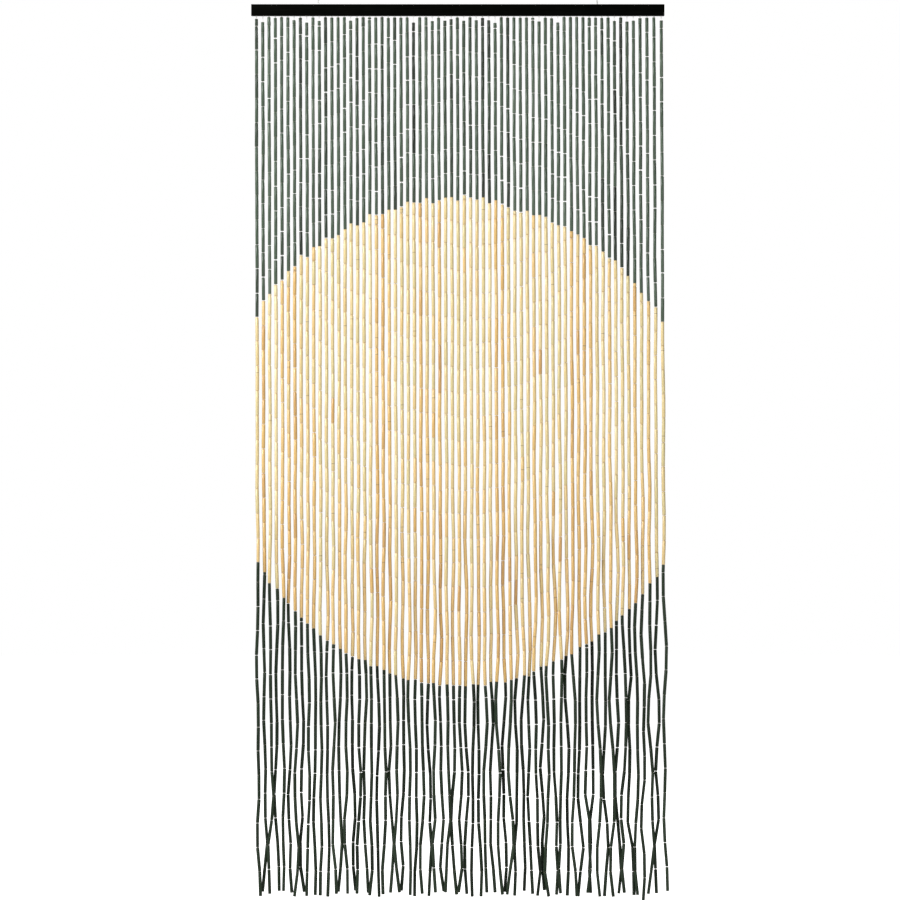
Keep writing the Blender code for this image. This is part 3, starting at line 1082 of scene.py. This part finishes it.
class BEADCURTAIN_OT_dark_beads(bpy.types.Operator):
    """Make the dark beads above and below the disc"""
    bl_idname = "bead_curtain.dark_beads"
    bl_label = "Dark Beads"

    def execute(self, context):
        colours = context.scene.bead_curtain_colours
        sizes = context.scene.bead_curtain_sizes
        # The upper run's stains are lighter than the lower's: painted light, the top of the curtain lit more
        # strongly
        runs = (("upper", colours.stain_upper, colours.stain_thin, UPPER_GLOSS, sizes.upper_gap),
                ("lower", colours.stain_lower, colours.stain_faded, LOWER_GLOSS, sizes.lower_gap))
        for run, stain, pale, gloss, gap in runs:
            bamboo = stored_material(f"stained_bamboo_{run}", dark_bamboo_material, stain, pale, gloss)
            beads = [bead for bead in all_beads() if bead.run == run]
            piece = make_bead_piece(f"{run}_beads", beads, sizes.dark_diameter, gap, bamboo)
            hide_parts("bead_strands")
        return {"FINISHED"}


class BEADCURTAIN_OT_links(bpy.types.Operator):
    """Make the linked wire rings between the beads"""
    bl_idname = "bead_curtain.links"
    bl_label = "Wire Links"

    def execute(self, context):
        wire = context.scene.bead_curtain_sizes.link_wire
        ring = ring_template("link_ring", LINK_RING_RADIUS, wire, LINK_RING_STEPS, LINK_WIRE_SIDES)
        places = link_places()
        half = -PICTURE_MIDDLE_Z
        for name, low, high in (("links_upper", 0.0, half), ("links_lower", half, math.inf)):
            piece = show_wires(name, ring, [place for place in places if low <= -place.translation.z < high])
            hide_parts("bead_strands")
        return {"FINISHED"}


def add_soft_light(lamp, target):
    """A soft square light, out of the picture's sight, that points at a target."""
    light = bpy.data.lights.new(lamp.name, "AREA")
    light.shape = "RECTANGLE"
    light.size = lamp.width
    light.size_y = lamp.height
    light.energy = lamp.power
    stand = bpy.data.objects.new(lamp.name, light)
    stand.location = lamp.place
    stand.rotation_euler = (target - Vector(lamp.place)).to_track_quat("-Z", "Y").to_euler()
    stand.visible_camera = False
    bpy.context.scene.collection.objects.link(stand)


class BEADCURTAIN_OT_stage(bpy.types.Operator):
    """Make the pale floor, the white surround, the soft lights and the camera"""
    bl_idname = "bead_curtain.stage"
    bl_label = "Stage"

    def execute(self, context):
        scene = context.scene
        bm = bmesh.new()
        bmesh.ops.create_circle(bm, cap_ends=True, segments=FLOOR_SIDES, radius=FLOOR_RADIUS)
        bmesh.ops.translate(bm, vec=(0.0, 0.0, CAD_BOX[0].z - FLOOR_DROP), verts=bm.verts)
        mesh = bpy.data.meshes.new("floor")
        bm.to_mesh(mesh)
        bm.free()
        mesh.materials.append(stored_material("studio_floor", floor_material))
        floor = bpy.data.objects.new("floor", mesh)
        scene.collection.objects.link(floor)
        scene.world = make_surround()
        for lamp in LAMPS:
            add_soft_light(lamp, Vector((0.0, 0.0, PICTURE_MIDDLE_Z)))
        camera = bpy.data.cameras.new("camera")
        camera.lens = LENS
        camera.sensor_width = SENSOR
        stand = bpy.data.objects.new("camera", camera)
        stand.location = (PICTURE_MIDDLE_X, -PICTURE_SPAN * LENS / SENSOR, PICTURE_MIDDLE_Z)
        stand.rotation_euler = (math.pi / 2, 0.0, 0.0)
        scene.collection.objects.link(stand)
        scene.camera = stand
        scene.view_settings.view_transform = "Standard"
        return {"FINISHED"}


class BEADCURTAIN_PT_panel(bpy.types.Panel):
    """Lists the curtain's pieces, sizes and colours"""
    bl_idname = "BEADCURTAIN_PT_panel"
    bl_label = "Bead Curtain"
    bl_space_type = "VIEW_3D"
    bl_region_type = "UI"
    bl_category = "Bead Curtain"

    def draw(self, context):
        layout = self.layout
        for operator in OPERATORS:
            layout.operator(operator.bl_idname)
        for group in (context.scene.bead_curtain_sizes, context.scene.bead_curtain_colours):
            box = layout.box()
            for name in group.__annotations__:
                box.prop(group, name)


OPERATORS = (
    BEADCURTAIN_OT_rail,
    BEADCURTAIN_OT_screw_eyes,
    BEADCURTAIN_OT_hangers,
    BEADCURTAIN_OT_natural_beads,
    BEADCURTAIN_OT_dark_beads,
    BEADCURTAIN_OT_links,
    BEADCURTAIN_OT_stage,
)
CLASSES = (BeadCurtainSizes, BeadCurtainColours, *OPERATORS, BEADCURTAIN_PT_panel)


def register():
    """Makes the classes known to the program, and gives the scene its sizes and colours."""
    for item in CLASSES:
        bpy.utils.register_class(item)
    bpy.types.Scene.bead_curtain_sizes = bpy.props.PointerProperty(type=BeadCurtainSizes)
    bpy.types.Scene.bead_curtain_colours = bpy.props.PointerProperty(type=BeadCurtainColours)


def unregister():
    """Takes back what register gave."""
    del bpy.types.Scene.bead_curtain_colours
    del bpy.types.Scene.bead_curtain_sizes
    for item in reversed(CLASSES):
        bpy.utils.unregister_class(item)


def main():
    """Makes every piece and the stage."""
    register()
    bpy.ops.bead_curtain.rail()
    bpy.ops.bead_curtain.screw_eyes()
    bpy.ops.bead_curtain.hangers()
    bpy.ops.bead_curtain.natural_beads()
    bpy.ops.bead_curtain.dark_beads()
    bpy.ops.bead_curtain.links()
    bpy.ops.bead_curtain.stage()


if __name__ == "__main__":
    main()
